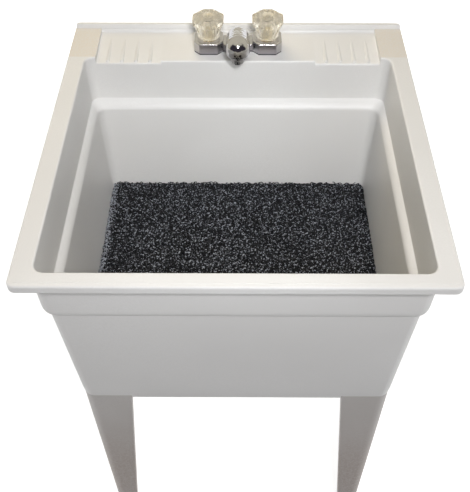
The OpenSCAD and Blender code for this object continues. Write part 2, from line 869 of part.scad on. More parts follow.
module faucet_body() {
    color("silver")
    translate([0, inlet_y, 0])
        difference() {
            union() {
                for (s = [-1, 1])
                    translate([s * inlet_pitch / 2, 0, body_z]) {
                        linear_extrude(height = base_h - base_bevel)
                            block_plan(base_w);
                        hull() {
                            translate([0, 0, base_h - base_bevel - eps])
                                linear_extrude(height = eps)
                                    block_plan(base_w);
                            translate([0, 0, base_h - eps])
                                linear_extrude(height = eps)
                                    block_plan(base_w - 2 * base_bevel);
                        }
                    }
                translate([0, 0, body_z])
                    linear_extrude(height = waist_h)
                        waist_plan(waist_d);
                spout();
            }
            for (s = [-1, 1])
                translate([s * inlet_pitch / 2, 0, 0]) {
                    translate([0, 0, body_z + shank_seat + 1])
                        cylinder(r = cartridge_r + slip_gap, h = base_h, $fn = 64);
                    translate([0, 0, body_z - cut])
                        cylinder(r = shank_r + slip_gap, h = shank_seat + cut, $fn = 64);
                    translate([0, 0, body_z])
                        cylinder(r = shank_bore_r, h = base_h, $fn = 64);
                }
            translate([0, -spout_reach, 0]) {
                translate([0, 0, collar_z - cut])
                    cylinder(r = aerator_r - 1 + slip_gap, h = 8 + cut, $fn = 64);
                translate([0, 0, collar_z])
                    cylinder(r = water_r, h = 16, $fn = 48);
            }
            translate([0, 0, body_z - cut])
                cylinder(r = water_r, h = waist_h, $fn = 48);
            waterway();
        }
}

// Channel from the middle of the base to the outlet
module waterway() {
    route = [[0, body_z + 8], [heel_reach, heel_z], [spout_reach - spout_r, nose_z + 2],
        [spout_reach, nose_z + 2]];
    for (i = [1:len(route) - 1]) {
        step = route[i] - route[i - 1];
        translate([0, -route[i - 1][0], route[i - 1][1]])
            rotate([atan2(step[0], step[1]), 0, 0])
                cylinder(r = water_r - 1.5 + 0.2 * i, h = norm(step) + 2, $fn = 32);
    }
}

// Rounded spout, cast in one with the base: a round heel, a domed nose and a flat outlet face
module spout() {
    difference() {
        hull() {
            translate([0, -heel_reach, heel_z])
                sphere(r = spout_r, $fn = 40);
            translate([0, -spout_reach, 0])
                rotate_extrude($fn = 40)
                    polygon(concat(
                        [[0, collar_z], [spout_r - 1.5, collar_z], [spout_r, collar_z + 1.5]],
                        [for (a = [0:9:90]) [spout_r * cos(a), nose_z + spout_r * sin(a)]]));
        }
        along_x(-spout_r - cut, spout_r + cut)
            polygon([[-heel_reach - 0.6 * spout_r, body_z], [spout_r - spout_reach, collar_z],
                [-spout_reach - 2 * spout_r, collar_z], [-spout_reach - 2 * spout_r, body_z]]);
    }
}

// Seal under the whole base
module base_gasket() {
    color("dimgray")
    translate([0, inlet_y, deck_z])
        linear_extrude(height = gasket_t)
            difference() {
                union() {
                    for (s = [-1, 1])
                        translate([s * inlet_pitch / 2, 0])
                            block_plan(base_w - 1);
                    waist_plan(waist_d - 1);
                }
                for (s = [-1, 1])
                    translate([s * inlet_pitch / 2, 0])
                        circle(r = shank_r + 2 * slip_gap, $fn = 64);
                circle(r = water_r, $fn = 48);
            }
}

// Threaded inlet shank, screwed into the base from below; a relief ends the thread for the supply
module shank(s) {
    relief_t = 1.5;
    relief_z = deck_z - wall - shank_washer_t - shank_nut_h - 2 * relief_t;
    color("goldenrod")
        translate([s * inlet_pitch / 2, inlet_y, 0])
            difference() {
                washer(body_z - shank_l, shank_l + shank_seat - slip_gap, shank_r, shank_bore_r);
                washer(relief_z, relief_t, shank_r + cut, shank_r - 0.6);
            }
}
module hot_shank() { shank(-1); }
module cold_shank() { shank(1); }

module shank_washers() {
    color("dimgray")
    for (s = [-1, 1])
        translate([s * inlet_pitch / 2, inlet_y, 0])
            washer(deck_z - wall - shank_washer_t, shank_washer_t, deck_hole_r + 5, shank_r + slip_gap);
}

module shank_nuts() {
    color("whitesmoke")
    for (s = [-1, 1])
        translate([s * inlet_pitch / 2, inlet_y, 0])
            lobed_nut(deck_z - wall - shank_washer_t - shank_nut_h, shank_nut_h, deck_hole_r + 6,
                shank_r + run_gap, 6);
}

// Quarter-turn cartridge: a brass body with a collar on top of the base block
module cartridge(s) {
    low = body_z + shank_seat + 1 + slip_gap;
    color("goldenrod")
        translate([s * inlet_pitch / 2, inlet_y, 0])
            difference() {
                union() {
                    translate([0, 0, low])
                        cylinder(r = cartridge_r, h = base_top - low + eps, $fn = 64);
                    translate([0, 0, base_top])
                        cylinder(r = cartridge_r + 3, h = collar_top_h, $fn = 64);
                }
                translate([0, 0, low + 2])
                    cylinder(r = stem_r + run_gap, h = 2 * base_h, $fn = 64);
                translate([0, 0, low - cut])
                    cylinder(r = stem_r - 1, h = base_h, $fn = 48);
            }
}
module hot_cartridge() { cartridge(-1); }
module cold_cartridge() { cartridge(1); }

module stem(s) {
    low = body_z + shank_seat + 1 + slip_gap + 2 + seat_gap;
    color("darkgoldenrod")
        translate([s * inlet_pitch / 2, inlet_y, 0])
            difference() {
                union() {
                    translate([0, 0, low])
                        cylinder(r = stem_r, h = knob_z + 4 - low, $fn = 64);
                    translate([0, 0, knob_z + 4 - eps])
                        cylinder(r = broach_r, h = stem_top - knob_z - 4 + eps, $fn = 64);
                }
                translate([0, 0, stem_top - 14])
                    cylinder(r = knob_screw_r + run_gap, h = 14 + cut, $fn = 32);
            }
}
module hot_stem() { stem(-1); }
module cold_stem() { stem(1); }

// Clear knob: a waisted turned shape, cut to eight sides, with a groove down each corner
knob_foot_r = 0.70 * knob_r;
knob_sides = 8;
module knob(s) {
    widest = 0.72 * knob_h;
    crown = 0.86 * knob_h;
    corner_r = 1.03 * knob_r;
    color([0.93, 0.90, 0.80, 0.6])
    translate([s * inlet_pitch / 2, inlet_y, knob_z])
        difference() {
            intersection() {
                rotate_extrude($fn = 96)
                    polygon(concat(
                        [[0, 0], [knob_foot_r - 1, 0], [knob_foot_r, 1]],
                        [for (i = [1:6]) let (t = i / 6) [knob_foot_r + (knob_r - knob_foot_r)
                            * (1 - cos(90 * t)), 1 + (widest - 1) * t]],
                        [[knob_r, crown], [0.76 * knob_r, knob_h], [0, knob_h]]));
                rotate([0, 0, 180 / knob_sides]) {
                    cylinder(r = corner_r, h = crown, $fn = knob_sides);
                    translate([0, 0, crown - eps])
                        cylinder(r1 = corner_r, r2 = 0.68 * corner_r, h = knob_h - crown + eps,
                            $fn = knob_sides);
                }
            }
            for (i = [0:2 * knob_sides - 1])
                rotate([0, 0, 360 * i / (2 * knob_sides)])
                    translate([knob_foot_r + 1.6, 0, -cut])
                        rotate([0, 7, 0])
                            cylinder(r = 2.2, h = widest, $fn = 32);
            translate([0, 0, -cut])
                cylinder(r = core_r + slip_gap, h = insert_top - knob_z + cut, $fn = 64);
            translate([0, 0, -cut])
                cylinder(r = knob_screw_r + slip_gap, h = knob_h + cut, $fn = 32);
            translate([0, 0, knob_h - recess_h])
                cylinder(r = button_r + slip_gap, h = recess_h + cut, $fn = 64);
        }
}
module hot_knob() { knob(-1); }
module cold_knob() { knob(1); }

// Metal insert that carries the knob on the stem
module knob_insert(s) {
    color("silver")
    translate([s * inlet_pitch / 2, inlet_y, knob_z])
        difference() {
            cylinder(r = core_r, h = insert_top - knob_z, $fn = 64);
            translate([0, 0, -cut])
                cylinder(r = stem_r + slip_gap, h = cut + 4.2, $fn = 64);
            translate([0, 0, -cut])
                cylinder(r = broach_r + run_gap, h = stem_top - knob_z + cut + slip_gap, $fn = 64);
            translate([0, 0, -cut])
                cylinder(r = knob_screw_r + slip_gap, h = knob_h, $fn = 32);
        }
}
module hot_knob_insert() { knob_insert(-1); }
module cold_knob_insert() { knob_insert(1); }

// Screw from the recess in the knob's top down into the stem
module knob_screw(s) {
    color("silver")
    translate([s * inlet_pitch / 2, inlet_y, knob_top - recess_h]) {
        difference() {
            cylinder(r = screw_head_r, h = screw_head_h, $fn = 48);
            for (a = [0, 90])
                rotate([0, 0, a])
                    translate([-0.5, -0.6 * screw_head_r, screw_head_h - 1.4])
                        cube([1, 1.2 * screw_head_r, 2]);
        }
        translate([0, 0, stem_top - 10 - knob_top + recess_h])
            cylinder(r = knob_screw_r, h = knob_top - recess_h - stem_top + 10 + eps, $fn = 32);
    }
}
module hot_knob_screw() { knob_screw(-1); }
module cold_knob_screw() { knob_screw(1); }

// Plain button that closes the recess
module index_button(s) {
    color("whitesmoke")
    translate([s * inlet_pitch / 2, inlet_y, knob_top - button_t])
        union() {
            cylinder(r = button_r, h = button_t - 0.5, $fn = 64);
            translate([0, 0, screw_head_h - recess_h + button_t])
                washer(0, recess_h - screw_head_h - button_t + eps, screw_head_r, screw_head_r - 1.2);
        }
}
module hot_index_button() { index_button(-1); }
module cold_index_button() { index_button(1); }

module aerator_housing() {
    grip_z = outlet_z + 2;
    grip_h = 9;
    color("silver")
    translate([0, outlet_y, 0])
        difference() {
            union() {
                rotate_extrude($fn = 96)
                    polygon([[0, outlet_z], [aerator_r - 1.5, outlet_z], [aerator_r - 0.6, grip_z],
                        [aerator_r - 0.6, grip_z + grip_h], [aerator_r, grip_z + grip_h + 1],
                        [aerator_r, collar_z - slip_gap], [0, collar_z - slip_gap]]);
                translate([0, 0, collar_z - 1])
                    cylinder(r = aerator_r - 1, h = 7, $fn = 64);
                for (i = [0:17])
                    rotate([0, 0, 20 * i])
                        translate([aerator_r - 1.2, 0, grip_z])
                            cylinder(r = 0.9, h = grip_h, $fn = 16);
            }
            translate([0, 0, outlet_z + 3])
                cylinder(r = aerator_r - 3, h = 2 * aerator_h, $fn = 64);
            translate([0, 0, outlet_z - cut])
                cylinder(r = aerator_r - 4.5, h = 2 * aerator_h, $fn = 64);
        }
}

module aerator_washer() {
    color("dimgray")
        translate([0, outlet_y, 0])
            washer(collar_z + 6 + slip_gap, 1.5, aerator_r - 1, water_r + slip_gap);
}

// Perforated disc that the water leaves through
module aerator_screen() {
    color("gray")
    translate([0, outlet_y, outlet_z + 3])
        difference() {
            cylinder(r = aerator_r - 3 - slip_gap, h = 2, $fn = 64);
            for (i = [0:5])
                rotate([0, 0, 60 * i])
                    translate([0.45 * (aerator_r - 4.5), 0, -cut])
                        cylinder(r = 1.4, h = 3 * cut, $fn = 24);
            translate([0, 0, -cut])
                cylinder(r = 1.2, h = 3 * cut, $fn = 24);
        }
}

tub();
front_left_leg();
front_right_leg();
rear_left_leg();
rear_right_leg();
leg_screws();
foot_inserts();
front_left_foot();
front_right_foot();
rear_left_foot();
rear_right_foot();
loop_mat();
drain_strainer();
drain_gasket();
drain_washer();
drain_locknut();
tailpiece();
tailpiece_washer();
coupling_nut();
faucet_body();
base_gasket();
hot_shank();
cold_shank();
shank_washers();
shank_nuts();
hot_cartridge();
cold_cartridge();
hot_stem();
cold_stem();
hot_knob();
cold_knob();
hot_knob_insert();
cold_knob_insert();
hot_knob_screw();
cold_knob_screw();
hot_index_button();
cold_index_button();
aerator_housing();
aerator_washer();
aerator_screen();
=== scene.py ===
"""Looks of a free-standing moulded laundry tub, its centre-set faucet and its loop mat.

Lengths are in metres, in the frame that the CAD nodes share: the tub's front faces -Y.
"""

import math

import bpy
import numpy as np
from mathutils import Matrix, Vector


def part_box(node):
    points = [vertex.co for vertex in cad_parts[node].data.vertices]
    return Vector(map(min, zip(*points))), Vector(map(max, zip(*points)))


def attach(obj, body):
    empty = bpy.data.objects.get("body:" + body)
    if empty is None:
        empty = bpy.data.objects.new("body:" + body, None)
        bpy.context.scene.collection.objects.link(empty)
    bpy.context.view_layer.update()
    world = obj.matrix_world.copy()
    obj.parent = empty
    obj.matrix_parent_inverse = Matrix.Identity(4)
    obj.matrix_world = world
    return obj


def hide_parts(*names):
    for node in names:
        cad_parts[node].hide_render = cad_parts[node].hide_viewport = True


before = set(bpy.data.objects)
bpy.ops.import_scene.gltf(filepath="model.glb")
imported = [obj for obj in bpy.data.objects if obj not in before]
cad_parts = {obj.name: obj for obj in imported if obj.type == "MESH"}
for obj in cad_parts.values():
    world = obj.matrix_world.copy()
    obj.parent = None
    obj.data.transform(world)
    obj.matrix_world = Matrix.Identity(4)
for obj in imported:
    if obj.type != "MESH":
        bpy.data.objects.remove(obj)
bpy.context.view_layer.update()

# ---------------------------------------------------------------- camera

CAMERA_AT = (0.00861, -0.8477, 1.58114)
CAMERA_DOWN = 49.06  # degrees below level
CAMERA_TURN = 0.26  # degrees to the left of straight back
CAMERA_SENSOR = 36  # millimetres, as is the lens
CAMERA_LENS = 52.38
CAMERA_SHIFT = (-0.01026, -0.0036)
CAMERA_NEAR = 0.02
CAMERA_FAR = 50


def make_camera():
    """The photograph's viewpoint: above the front rim, looking down into the basin."""
    data = bpy.data.cameras.new("camera")
    data.sensor_width = CAMERA_SENSOR
    data.lens = CAMERA_LENS
    data.shift_x, data.shift_y = CAMERA_SHIFT
    data.clip_start = CAMERA_NEAR
    data.clip_end = CAMERA_FAR
    camera = bpy.data.objects.new("camera", data)
    camera.location = CAMERA_AT
    camera.rotation_euler = (math.radians(90 - CAMERA_DOWN), 0, math.radians(CAMERA_TURN))
    bpy.context.scene.collection.objects.link(camera)
    bpy.context.scene.camera = camera


# ---------------------------------------------------------------- shader helpers


def cleared_tree(owner):
    """The node tree of a new material or world, with nothing in it."""
    owner.use_nodes = True
    owner.node_tree.nodes.clear()
    return owner.node_tree


def put(tree, socket, value):
    """Links value to an input if it is a socket, and otherwise sets the input to it."""
    if isinstance(value, bpy.types.NodeSocket):
        tree.links.new(value, socket)
    else:
        socket.default_value = value


def add(tree, kind, inputs=None, **settings):
    """A new node with its settings, and each input given a value or a link."""
    made = tree.nodes.new(kind)
    for key, value in settings.items():
        setattr(made, key, value)
    for key, value in (inputs or {}).items():
        put(tree, made.inputs[key], value)
    return made


def place(tree):
    """Coordinates that stay with the piece when it moves: at rest, those of the shared frame."""
    return add(tree, "ShaderNodeTexCoord").outputs["Object"]


def noise(tree, where, scale, detail=2.0, rough=0.5, distortion=0.0):
    """A noise value about 0.5, with features about one over scale metres wide."""
    values = {
        "Vector": where,
        "Scale": scale,
        "Detail": detail,
        "Roughness": rough,
        "Distortion": distortion,
    }
    return add(tree, "ShaderNodeTexNoise", values).outputs["Fac"]


def cells(tree, where, scale):
    """Distance to the nearest of many scattered points, where their gaps are about 1 wide."""
    values = {"Vector": where, "Scale": scale}
    return add(tree, "ShaderNodeTexVoronoi", values).outputs["Distance"]


def remap(tree, value, low, high, to_low=0.0, to_high=1.0, smooth=True):
    """value taken from low..high to to_low..to_high, and held outside."""
    kind = "SMOOTHSTEP" if smooth else "LINEAR"
    values = {
        "Value": value,
        "From Min": low,
        "From Max": high,
        "To Min": to_low,
        "To Max": to_high,
    }
    return add(tree, "ShaderNodeMapRange", values, interpolation_type=kind).outputs["Result"]


def maths(tree, operation, first, second):
    """One sum on two values or sockets."""
    return add(tree, "ShaderNodeMath", {0: first, 1: second}, operation=operation).outputs[0]


def product(tree, first, *others):
    """Values or sockets multiplied together."""
    for other in others:
        first = maths(tree, "MULTIPLY", first, other)
    return first


def part_of(tree, where, axis):
    """One coordinate, X, Y or Z."""
    return add(tree, "ShaderNodeSeparateXYZ", {0: where}).outputs[axis]


def stretch(tree, where, scale):
    """Coordinates scaled by a different amount on each axis."""
    return add(tree, "ShaderNodeMapping", {"Vector": where, "Scale": scale}).outputs[0]


def blend_colour(tree, share, first, second):
    """first where share is 0 and second where it is 1."""
    values = {0: share, 6: first, 7: second}
    return add(tree, "ShaderNodeMix", values, data_type="RGBA").outputs[2]


def grey(value):
    """An opaque grey, in linear light."""
    return (value, value, value, 1.0)


def rgb(red, green, blue):
    """An opaque colour, in linear light."""
    return (red, green, blue, 1.0)


def bump(tree, height, distance, strength, normal=None):
    """A normal that follows height, where a height of 1 stands distance metres proud."""
    values = {"Height": height, "Distance": distance, "Strength": strength}
    if normal is not None:
        values["Normal"] = normal
    return add(tree, "ShaderNodeBump", values).outputs["Normal"]


def new_material(name):
    """A material with an untouched principled shader, its tree and that shader."""
    made = bpy.data.materials.new(name)
    tree = cleared_tree(made)
    shader = add(tree, "ShaderNodeBsdfPrincipled")
    add(tree, "ShaderNodeOutputMaterial", {"Surface": shader.outputs[0]})
    return made, tree, shader


def feed(tree, shader, **sockets):
    """Sets or links the shader's inputs, written with an underscore for each space."""
    for key, value in sockets.items():
        put(tree, shader.inputs[key.replace("_", " ")], value)


# ---------------------------------------------------------------- tub and leg plastic

# Each of these ranges goes from where a tone is absent to where it is full.
# The BLOCK ranges find the deck's end blocks, which get a darker, warmer painted shade.
BLOCK_SIDE_X = (0.2445, 0.2455)
BLOCK_FRONT_Y = (0.1985, 0.2005)
BLOCK_TOP_Z = (0.8605, 0.8615)
# Painted shade on the legs, deepening toward the floor, from the first height down to the second.
LOW_SHADE_Z = (0.54, 0.22)
# This one goes from full to absent.
BLOCK_BACK_Y = (0.2865, 0.2895)

# A scale is the number of features in a metre, and a share says how strongly they tint.
FLOW_SCALE = 4.5
FLECK_SCALE = 330
FLECK_SHARE = 0.55
SPECK_SCALE = 120
SPECK_RADIUS = 0.10  # of the gap between specks
SPECK_PATCH_SCALE = 60
SPECK_SHARE = 0.35
SCUFF_SCALE = 9.0
SCUFF_STRETCH = (9, 9, 90)
TUB_ROUGHNESS = (0.36, 0.50)
SKIN_SCALE = 620
SKIN_HEIGHT = 0.00012
WARP_SCALE = 11
WARP_HEIGHT = 0.0012
TUB_IOR = 1.49


def end_blocks(tree, where):
    """1 on the blocks at both ends of the deck, where a darker, warmer painted shade goes."""
    across = maths(tree, "ABSOLUTE", part_of(tree, where, "X"), 0.0)
    side = remap(tree, across, *BLOCK_SIDE_X)
    front = remap(tree, part_of(tree, where, "Y"), *BLOCK_FRONT_Y)
    back = remap(tree, part_of(tree, where, "Y"), *BLOCK_BACK_Y, 1.0, 0.0)
    top = remap(tree, part_of(tree, where, "Z"), *BLOCK_TOP_Z)
    return product(tree, side, front, back, top)


def tub_plastic(name, light, dark, stain, block_shade=None, low_shade=None):
    """Moulded off-white plastic: faint flow tone, fine fleck, an orange-peel skin, light scuffs.

    The tone for the deck's end blocks is painted shade on them, and the tone for a leg is painted
    shade that deepens toward the floor.
    """
    made, tree, shader = new_material(name)
    where = place(tree)
    flow = remap(tree, noise(tree, where, FLOW_SCALE), 0.35, 0.65)
    base = blend_colour(tree, flow, light, dark)
    # Painted shade: the deck's end blocks are darker and warmer.
    if block_shade is not None:
        base = blend_colour(tree, end_blocks(tree, where), base, block_shade)
    # Painted shade: a leg darkens and browns toward the floor.
    if low_shade is not None:
        low = remap(tree, part_of(tree, where, "Z"), *LOW_SHADE_Z)
        base = blend_colour(tree, low, base, low_shade)
    fleck_and_glint = remap(tree, noise(tree, where, FLECK_SCALE, rough=0.6), 0.30, 0.70)
    base = blend_colour(tree, product(tree, fleck_and_glint, FLECK_SHARE), base, dark)
    speck = remap(tree, cells(tree, where, SPECK_SCALE), 0.0, SPECK_RADIUS, 1.0, 0.0)
    patch = remap(tree, noise(tree, where, SPECK_PATCH_SCALE, detail=1.0), 0.50, 0.60)
    base = blend_colour(tree, product(tree, speck, patch, SPECK_SHARE), base, stain)
    along = stretch(tree, where, SCUFF_STRETCH)
    scuff = noise(tree, along, SCUFF_SCALE, detail=3.0, rough=0.7, distortion=0.6)
    rough = remap(tree, scuff, 0.35, 0.75, *TUB_ROUGHNESS)
    skin = bump(tree, noise(tree, where, SKIN_SCALE), SKIN_HEIGHT, 0.5)
    warp = noise(tree, where, WARP_SCALE, detail=1.0)
    normal = bump(tree, warp, WARP_HEIGHT, 0.25, skin)
    feed(tree, shader, Base_Color=base, Roughness=rough, Normal=normal, IOR=TUB_IOR)
    return made


# ---------------------------------------------------------------- metals

# The front faces of the casting's valve blocks: the Y of their normal, and their own Y and Z,
# each from where the satin and its painted shade are absent to where they are full.
FRONT_FACING = (-0.60, -0.90)
FRONT_Y = (0.186, 0.190)
FRONT_Z = (0.8790, 0.8765)
# The block fronts' darker colour is painted shade, for the dim reflection they show; their rougher
# satin is real.
FRONT_PAINTED_SHADE = rgb(0.42, 0.40, 0.42)
SATIN_ROUGHNESS = 0.42

FILM_SCALE = 42
MARK_SCALE = 180.0
MARK_HEIGHT = 0.00003
RIPPLE_SCALE = 95


def block_fronts(tree, where):
    """1 on the upright front faces of the faucet's two valve blocks."""
    facing = part_of(tree, add(tree, "ShaderNodeTexCoord").outputs["Normal"], "Y")
    facing = remap(tree, facing, *FRONT_FACING)
    behind = remap(tree, part_of(tree, where, "Y"), *FRONT_Y)
    below = remap(tree, part_of(tree, where, "Z"), *FRONT_Z)
    return product(tree, behind, below, facing)


def metal(name, bright, dull, roughness, marks_scale=MARK_SCALE, streak=None, ripple=None):
    """Metal with a patchy film, between a bright and a dull colour and over a roughness range.

    streak stretches the marks, and ripple is the height of the soft waves of a polished casting,
    whose block fronts get a rougher satin and a darker colour that is painted shade.
    """
    made, tree, shader = new_material(name)
    where = place(tree)
    grain = where if streak is None else stretch(tree, where, streak)
    film = noise(tree, where, FILM_SCALE, detail=3.0, rough=0.6)
    film = remap(tree, film, 0.40, 0.70)
    marks = remap(tree, noise(tree, grain, marks_scale, rough=0.6), 0.45, 0.75)
    wear_and_edge_glint = maths(tree, "MAXIMUM", product(tree, film, 0.5), product(tree, film, marks))
    base = blend_colour(tree, wear_and_edge_glint, bright, dull)
    rough = remap(tree, marks, 0.0, 1.0, *roughness, smooth=False)
    normal = bump(tree, marks, MARK_HEIGHT, 0.6)
    if ripple is not None:
        normal = bump(tree, noise(tree, where, RIPPLE_SCALE), ripple, 1.0, normal)
        front = block_fronts(tree, where)
        # Painted shade: the block fronts are darkened; their roughness is a real satin.
        base = blend_colour(tree, front, base, FRONT_PAINTED_SHADE)
        rough = maths(tree, "MAXIMUM", rough, product(tree, front, SATIN_ROUGHNESS))
    feed(tree, shader, Base_Color=base, Metallic=1.0, Roughness=rough, Normal=normal)
    return made


# ---------------------------------------------------------------- small plastic, acrylic, vinyl

TONE_SCALE = 35
TONE_SHARE = 0.8
GLOSS_SCALE = 260
GRAIN_SCALE = 1040
GRAIN_HEIGHT = 0.00006

ACRYLIC_LIGHT = rgb(1.0, 0.955, 0.845)
ACRYLIC_STRAW = rgb(0.985, 0.915, 0.75)
ACRYLIC_TONE_SCALE = 60
ACRYLIC_HAIR_SCALE = 300
ACRYLIC_HAIR_STRETCH = (1, 1, 6)
ACRYLIC_ROUGHNESS = (0.06, 0.20)
ACRYLIC_WAVE_SCALE = 240
ACRYLIC_WAVE_HEIGHT = 0.00012
ACRYLIC_IOR = 1.49
ACRYLIC_CLEARNESS = 0.74

VINYL_BLACK = rgb(0.0025, 0.003, 0.0045)
VINYL_CHARCOAL = rgb(0.0055, 0.0065, 0.009)
VINYL_TONE_SCALE = 14
# Pale flecks painted on the filament stand in for glints of light on shiny vinyl, and more of them
# crowd toward the left edge.
VINYL_GLINT = rgb(0.41, 0.43, 0.475)
VINYL_GLINT_SCALE = 310
VINYL_GLINT_FROM = (0.58, 0.66)
VINYL_EDGE_GLINT_WIDTH = 0.016
VINYL_EDGE_GLINT = 0.17
VINYL_ROUGHNESS = (0.34, 0.50)
VINYL_GRAIN_SCALE = 900
VINYL_GRAIN_HEIGHT = 0.0001
VINYL_IOR = 1.33


def plain_plastic(name, colour, shade, roughness):
    """Small moulded plastic or rubber part: two near tones, a fine skin and patchy gloss."""
    made, tree, shader = new_material(name)
    where = place(tree)
    tone = noise(tree, where, TONE_SCALE, detail=3.0, rough=0.6)
    tone = remap(tree, tone, 0.35, 0.65)
    base = blend_colour(tree, product(tree, tone, TONE_SHARE), colour, shade)
    rough = remap(tree, noise(tree, where, GLOSS_SCALE), 0.3, 0.7, *roughness)
    normal = bump(tree, noise(tree, where, GRAIN_SCALE), GRAIN_HEIGHT, 0.6)
    feed(tree, shader, Base_Color=base, Roughness=rough, Normal=normal)
    return made


def clear_acrylic(name):
    """Cast acrylic, faintly straw-coloured, with hairline scratches."""
    made, tree, shader = new_material(name)
    where = place(tree)
    tone = remap(tree, noise(tree, where, ACRYLIC_TONE_SCALE), 0.3, 0.7)
    base = blend_colour(tree, tone, ACRYLIC_LIGHT, ACRYLIC_STRAW)
    upward = stretch(tree, where, ACRYLIC_HAIR_STRETCH)
    hair = noise(tree, upward, ACRYLIC_HAIR_SCALE, rough=0.7)
    rough = remap(tree, hair, 0.35, 0.8, *ACRYLIC_ROUGHNESS)
    wave = noise(tree, where, ACRYLIC_WAVE_SCALE, detail=1.0)
    normal = bump(tree, wave, ACRYLIC_WAVE_HEIGHT, 0.6)
    feed(tree, shader, Base_Color=base, Roughness=rough, Normal=normal)
    feed(tree, shader, IOR=ACRYLIC_IOR, Transmission_Weight=ACRYLIC_CLEARNESS)
    return made


def mat_vinyl(name, left_edge):
    """Shiny charcoal vinyl filament with pale flecks that are painted glints of light, which crowd
    toward the mat's left edge.
    """
    made, tree, shader = new_material(name)
    where = place(tree)
    tone = noise(tree, where, VINYL_TONE_SCALE, detail=3.0, rough=0.6)
    tone = remap(tree, tone, 0.35, 0.65)
    base = blend_colour(tree, tone, VINYL_BLACK, VINYL_CHARCOAL)
    # Painted highlights: pale flecks for glints of light on the shiny filament, more of them
    # toward the mat's left edge.
    across = part_of(tree, where, "X")
    wear_and_edge_glint = remap(tree, across, left_edge, left_edge + VINYL_EDGE_GLINT_WIDTH, VINYL_EDGE_GLINT, 0.0)
    spot = maths(tree, "ADD", noise(tree, where, VINYL_GLINT_SCALE, detail=1.0), wear_and_edge_glint)
    fleck_and_glint = remap(tree, spot, *VINYL_GLINT_FROM)
    base = blend_colour(tree, fleck_and_glint, base, VINYL_GLINT)
    rough = remap(tree, fleck_and_glint, 0.0, 1.0, *VINYL_ROUGHNESS, smooth=False)
    normal = bump(tree, noise(tree, where, VINYL_GRAIN_SCALE), VINYL_GRAIN_HEIGHT, 0.5)
    feed(tree, shader, Base_Color=base, Roughness=rough, Normal=normal, IOR=VINYL_IOR)
    return made


# ---------------------------------------------------------------- finishes of the CAD nodes

CORNERS = ("front_left", "front_right", "rear_left", "rear_right")


def dress(nodes, finish):
    """Gives those CAD nodes a finish in place of their plain one."""
    for name in nodes:
        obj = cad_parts[name]
        obj.data.materials.clear()
        obj.data.materials.append(finish)


def dress_tub():
    """The tub and its legs, which are the same plastic; the legs' copy is darker and browner,
    which is painted shade.
    """
    white = tub_plastic(
        "tub_plastic",
        light=rgb(0.870, 0.862, 0.846),
        dark=rgb(0.825, 0.816, 0.798),
        stain=rgb(0.55, 0.53, 0.50),
        # The end blocks' darker, warmer tone is painted shade.
        block_shade=rgb(0.825, 0.770, 0.688),
    )
    # The legs' copy of the tub plastic is darker and browner as painted shade, and darker still
    # toward the floor.
    leg = tub_plastic(
        "leg_plastic",
        light=rgb(0.600, 0.575, 0.555),
        dark=rgb(0.520, 0.490, 0.465),
        stain=rgb(0.36, 0.32, 0.28),
        low_shade=rgb(0.360, 0.285, 0.245),
    )
    dress(["tub"], white)
    dress([f"{corner}_leg" for corner in CORNERS], leg)


def dress_metal():
    """The faucet's chrome, and the brass, zinc and steel of the small parts."""
    chrome = metal(
        "chrome",
        bright=rgb(0.62, 0.615, 0.625),
        dull=rgb(0.48, 0.47, 0.49),
        roughness=(0.07, 0.20),
        ripple=0.0006,
    )
    zinc = metal("zinc_screw", rgb(0.62, 0.63, 0.64), rgb(0.45, 0.45, 0.44), (0.30, 0.45))
    brass = metal("brass", rgb(0.80, 0.60, 0.28), rgb(0.55, 0.38, 0.17), (0.20, 0.42))
    steel = metal(
        "strainer_steel",
        bright=rgb(0.64, 0.64, 0.63),
        dull=rgb(0.50, 0.50, 0.49),
        roughness=(0.22, 0.36),
        marks_scale=300,
        streak=(1, 1, 12),
    )
    insert = metal("insert_metal", rgb(0.97, 0.94, 0.82), rgb(0.92, 0.86, 0.68), (0.38, 0.52))
    dress(["aerator_housing"], chrome)
    dress(["leg_screws", "hot_knob_screw", "cold_knob_screw"], zinc)
    dress(["foot_inserts", "hot_shank", "cold_shank", "shank_nuts"], brass)
    dress(["hot_cartridge", "cold_cartridge", "hot_stem", "cold_stem"], brass)
    dress(["drain_strainer", "aerator_screen"], steel)
    dress(["hot_knob_insert", "cold_knob_insert"], insert)
    make_casting(chrome)


def dress_plastic():
    """The acrylic knobs, the seals, the drain's pipe parts and the feet."""
    acrylic = clear_acrylic("clear_acrylic")
    rubber = plain_plastic(
        "seal_rubber", rgb(0.020, 0.020, 0.021), rgb(0.045, 0.044, 0.042), (0.55, 0.75)
    )
    pipe = plain_plastic(
        "drain_plastic", rgb(0.78, 0.78, 0.76), rgb(0.70, 0.69, 0.66), (0.30, 0.45)
    )
    foot = plain_plastic(
        "foot_plastic", rgb(0.028, 0.028, 0.030), rgb(0.060, 0.059, 0.058), (0.42, 0.60)
    )
    dress(["hot_knob", "cold_knob", "hot_index_button", "cold_index_button"], acrylic)
    dress(["drain_gasket", "tailpiece_washer", "base_gasket", "aerator_washer"], rubber)
    dress(["drain_washer", "drain_locknut", "tailpiece", "coupling_nut", "shank_washers"], pipe)
    dress([f"{corner}_foot" for corner in CORNERS], foot)


# ---------------------------------------------------------------- faucet casting

CASTING_VOXEL = 0.0008
CASTING_RELAX = 0.5
CASTING_PASSES = 7


